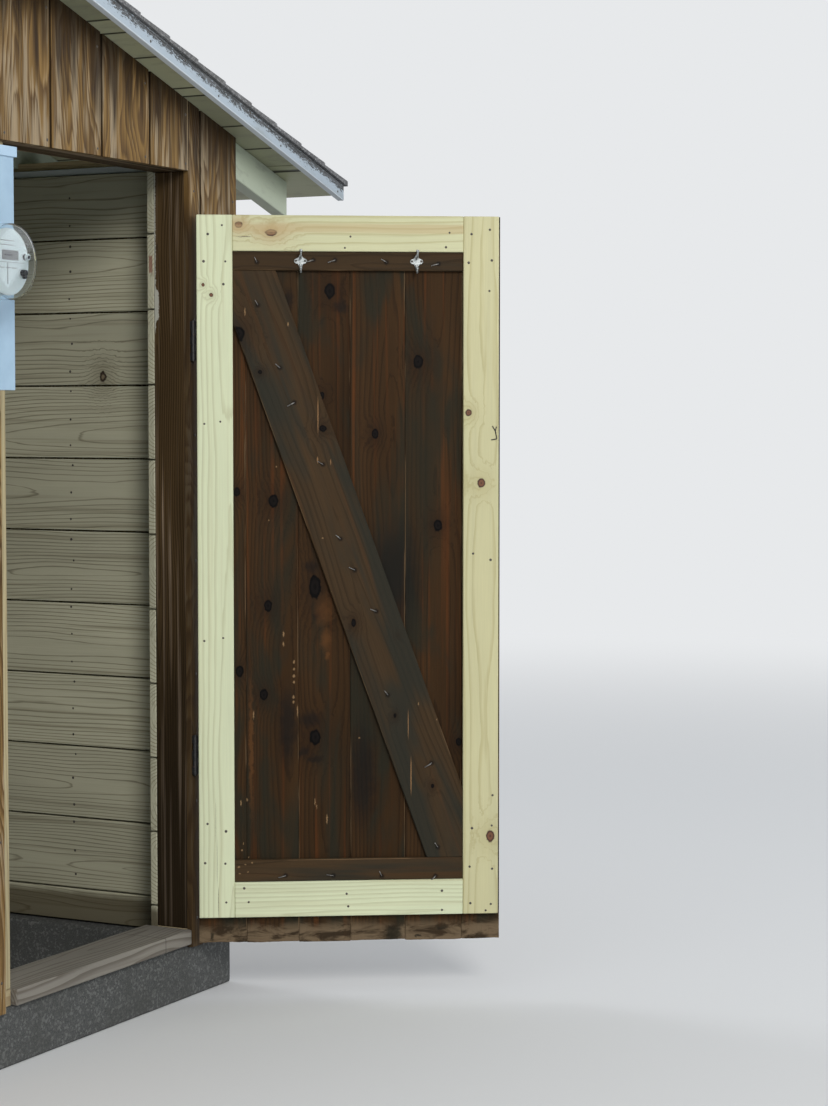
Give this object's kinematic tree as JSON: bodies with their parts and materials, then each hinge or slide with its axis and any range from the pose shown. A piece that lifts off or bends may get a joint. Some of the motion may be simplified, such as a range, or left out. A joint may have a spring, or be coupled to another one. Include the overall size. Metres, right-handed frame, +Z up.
{
  "type": "outdoor shower",
  "caption": "Small gabled timber building on a concrete curb, with a doorway, a plank door on hinges, board-lined walls, a shingled roof and a meter box.",
  "frame": {"origin": "on the ground, under the mid-plane of the front wall's studs, 364 mm left of the right door post", "axes": "+X to the right along the front wall, +Y into the building, +Z up"},
  "size_m": [2.625, 2.6004, 2.4977],
  "materials": {
    "concrete": "rough",
    "sill_wood": "weathered",
    "framing_wood": "sawn",
    "stained_wood": "stained",
    "new_wood": "planed",
    "siding_wood": "stained",
    "lining_wood": "weathered",
    "white_wood": "painted",
    "shingle": "rough",
    "black_iron": "satin",
    "galvanised": "satin",
    "meter_paint": "satin",
    "meter_plastic": "matte",
    "clear_glass": "gloss"
  },
  "bodies": {
    "building": {"foundation_curb": "concrete", "door_sill": "sill_wood", "sole_plates": "framing_wood", "right_door_post": "stained_wood", "left_door_post": "new_wood", "wall_studs": "framing_wood", "top_plates": "framing_wood", "door_header": "framing_wood", "gable_studs": "framing_wood", "front_siding_right": "siding_wood", "front_siding_header": "siding_wood", "front_siding_left": "siding_wood", "back_siding": "siding_wood", "left_siding": "siding_wood", "right_siding": "siding_wood", "lining_right": "lining_wood", "lining_left": "lining_wood", "lining_back": "lining_wood", "lining_front": "lining_wood", "lining_cap_strips": "white_wood", "rafters": "white_wood", "ridge_board": "white_wood", "sheathing_right": "white_wood", "sheathing_left": "white_wood", "rake_boards": "white_wood", "shingles_right": "shingle", "shingles_left": "shingle", "ridge_cap": "shingle", "meter_box": "meter_paint", "meter_collar": "galvanised", "meter_dial": "meter_plastic", "meter_glass": "clear_glass", "hinge_leaves_fixed": "black_iron", "hinge_pins": "black_iron"},
    "door": {"door_boards": "stained_wood", "top_ledge": "stained_wood", "bottom_ledge": "stained_wood", "brace": "stained_wood", "hinge_stile": "new_wood", "latch_stile": "new_wood", "top_rail": "new_wood", "bottom_rail": "new_wood", "hinge_leaves_door": "black_iron", "coat_hooks": "galvanised", "latch_hook": "black_iron"}
  },
  "joints": [
    {"name": "door_hinge", "type": "hinge", "parent": "building", "child": "door", "pos_m": [0.3675, -0.0685, 1.134], "axis": [0, 0, 1], "range_deg": [-122, 0]}
  ]
}
